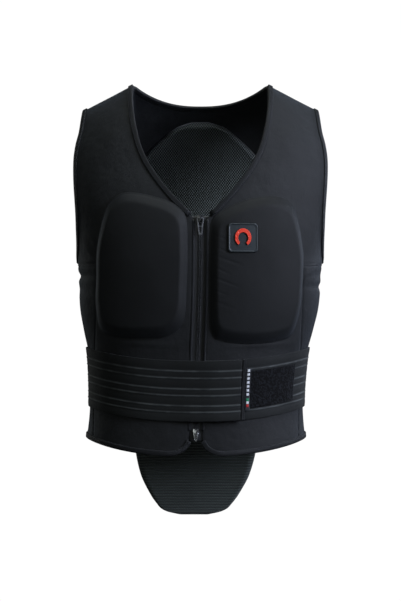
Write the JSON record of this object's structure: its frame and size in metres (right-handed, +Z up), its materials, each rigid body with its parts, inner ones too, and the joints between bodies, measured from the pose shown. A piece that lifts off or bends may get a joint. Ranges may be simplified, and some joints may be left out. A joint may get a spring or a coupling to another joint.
{
  "type": "equestrian body protector",
  "caption": "Black zip-front body protector vest with raised chest pads, ribbed kidney belt with hook and loop, and a back plate with a tail below the hem.",
  "frame": {"origin": "where the vest sits on the wearer's shoulders: on the plane of the shoulder seams, at shoulder level, on the middle of the neck opening", "axes": "+Z up, -Y the front with the zip, +X to the right of someone who looks at the front"},
  "size_m": [0.3986, 0.2541, 0.7024],
  "materials": {
    "cloth": "matt black stretch cloth",
    "side_mesh": "matt black stretch cloth, plain weave",
    "binding": "black folded elastic tape with a stitch line",
    "pad_cover": "smooth black stretch cloth over foam",
    "plate_mesh": "dark grey spacer mesh with ribs",
    "belt_elastic": "black ribbed elastic webbing",
    "loop_pile": "black looped pile",
    "label": "black woven strip with pale bars",
    "zip_tape": "black woven tape",
    "zip_coil": "black nylon coil",
    "zip_black": "black lacquered metal",
    "zip_silver": "bright cast metal",
    "badge": "dark moulded rubber",
    "emblem": "red-orange moulded rubber"
  },
  "bodies": {
    "vest": {"vest_front_left": "cloth", "vest_front_right": "cloth", "vest_back": "cloth", "side_insert_left": "side_mesh", "side_insert_right": "side_mesh", "neck_binding": "binding", "armhole_binding_left": "binding", "armhole_binding_right": "binding", "front_edge_binding_left": "binding", "front_edge_binding_right": "binding", "hem_binding": "binding", "chest_pad_left": "pad_cover", "chest_pad_right": "pad_cover", "back_protector": "plate_mesh", "belt_over_wing": "belt_elastic", "belt_under_wing": "belt_elastic", "belt_end_binding": "binding", "belt_loop_patch": "loop_pile", "belt_hook_patch": "loop_pile", "belt_label": "label", "zip_tape_left": "zip_tape", "zip_tape_right": "zip_tape", "zip_coil": "zip_coil", "zip_slider_top": "zip_black", "zip_slider_bottom": "zip_silver", "badge": "badge", "badge_emblem": "emblem"},
    "top_pull": {"zip_pull_top": "zip_black"},
    "bottom_pull": {"zip_pull_bottom": "zip_silver"}
  },
  "joints": [
    {"name": "top_pull_swing", "type": "hinge", "parent": "vest", "child": "top_pull", "pos_m": [-0.00031, -0.12162, -0.19547], "axis": [-1, 0, 0], "range_deg": [0, 160]},
    {"name": "bottom_pull_swing", "type": "hinge", "parent": "vest", "child": "bottom_pull", "pos_m": [-0.00697, -0.1125, -0.52357], "axis": [-1, 0, 0], "range_deg": [0, 160]}
  ]
}
